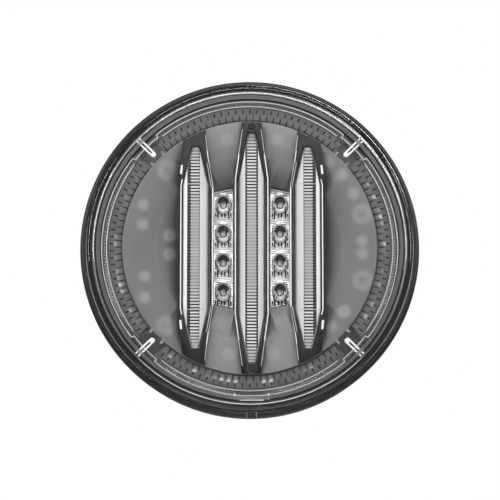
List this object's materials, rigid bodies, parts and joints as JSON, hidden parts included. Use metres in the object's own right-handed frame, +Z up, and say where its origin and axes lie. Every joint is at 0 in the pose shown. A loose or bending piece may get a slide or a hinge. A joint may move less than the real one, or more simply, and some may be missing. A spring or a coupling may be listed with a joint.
{
  "type": "round led fog light",
  "caption": "Round surface-mounted LED vehicle fog light: clear lens, smoked dish, ribbed light-guide bars, reflector strips, sealed housing, rear studs and socket.",
  "frame": {"origin": "centre of the rear gasket's back face, where the lamp lies on its panel", "axes": "+Z up, +X to the right as seen from in front, +Y back into the panel: the lens faces -Y"},
  "size_m": [0.122, 0.048, 0.122],
  "materials": {
    "housing_plastic": "fine moulded grain, satin on the rim",
    "lens_clear": "water-clear, polished",
    "seal_rubber": "matt closed-cell foam",
    "seal_silicone": "satin moulded silicone",
    "dish_smoked": "smoke grey, half translucent, satin",
    "ring_clear": "clear with moulded prisms",
    "clip_clear": "clear, polished",
    "guide_clear": "clear with moulded ribs",
    "frame_dark": "satin moulded",
    "led_phosphor": "satin phosphor on white packages",
    "reflector_metallised": "vacuum metallised",
    "led_silicone": "grey package under a clear silicone dome",
    "screw_black": "black passivated",
    "steel_zinc": "zinc plated",
    "board_white": "white solder mask",
    "aluminium_sheet": "rolled sheet",
    "part_ceramic": "white ceramic",
    "part_epoxy": "pale moulded package",
    "capacitor_can": "sleeved can",
    "terminal_brass": "tinned brass blade",
    "vent_plastic": "satin moulded"
  },
  "bodies": {
    "root": {"housing": "housing_plastic", "inlet_shroud": "housing_plastic", "outer_lens": "lens_clear", "lens_seal": "seal_rubber", "base_gasket": "seal_rubber", "inlet_seal": "seal_silicone", "diffuser_dish": "dish_smoked", "contour_ring": "ring_clear", "prism_ring_right": "ring_clear", "prism_ring_top": "ring_clear", "prism_ring_left": "ring_clear", "prism_ring_bottom": "ring_clear", "lens_clip_top_right": "clip_clear", "lens_clip_top_left": "clip_clear", "lens_clip_bottom_left": "clip_clear", "lens_clip_bottom_right": "clip_clear", "light_guide_left": "guide_clear", "light_guide_centre": "guide_clear", "light_guide_right": "guide_clear", "guide_frame_left": "frame_dark", "guide_frame_centre": "frame_dark", "guide_frame_right": "frame_dark", "guide_led_row_left": "led_phosphor", "guide_led_row_centre": "led_phosphor", "guide_led_row_right": "led_phosphor", "reflector_strip_left": "reflector_metallised", "reflector_strip_right": "reflector_metallised", "fog_led_left_1": "led_silicone", "fog_led_left_2": "led_silicone", "fog_led_left_3": "led_silicone", "fog_led_left_4": "led_silicone", "fog_led_right_1": "led_silicone", "fog_led_right_2": "led_silicone", "fog_led_right_3": "led_silicone", "fog_led_right_4": "led_silicone", "frame_screw_top": "screw_black", "frame_screw_bottom": "screw_black", "board_screw_1": "steel_zinc", "board_screw_2": "steel_zinc", "board_screw_3": "steel_zinc", "board_screw_4": "steel_zinc", "mounting_stud_left": "steel_zinc", "mounting_stud_right": "steel_zinc", "flange_nut_left": "steel_zinc", "flange_nut_right": "steel_zinc", "circuit_board": "board_white", "heat_spreader": "aluminium_sheet", "ballast_resistor_1": "part_ceramic", "ballast_resistor_2": "part_ceramic", "ballast_resistor_3": "part_ceramic", "ballast_resistor_4": "part_ceramic", "driver_transistor_1": "part_epoxy", "driver_transistor_2": "part_epoxy", "input_diode_1": "part_epoxy", "input_diode_2": "part_epoxy", "smoothing_capacitor": "capacitor_can", "terminal_live": "terminal_brass", "terminal_earth": "terminal_brass", "vent_plug": "vent_plastic"}
  },
  "joints": []
}
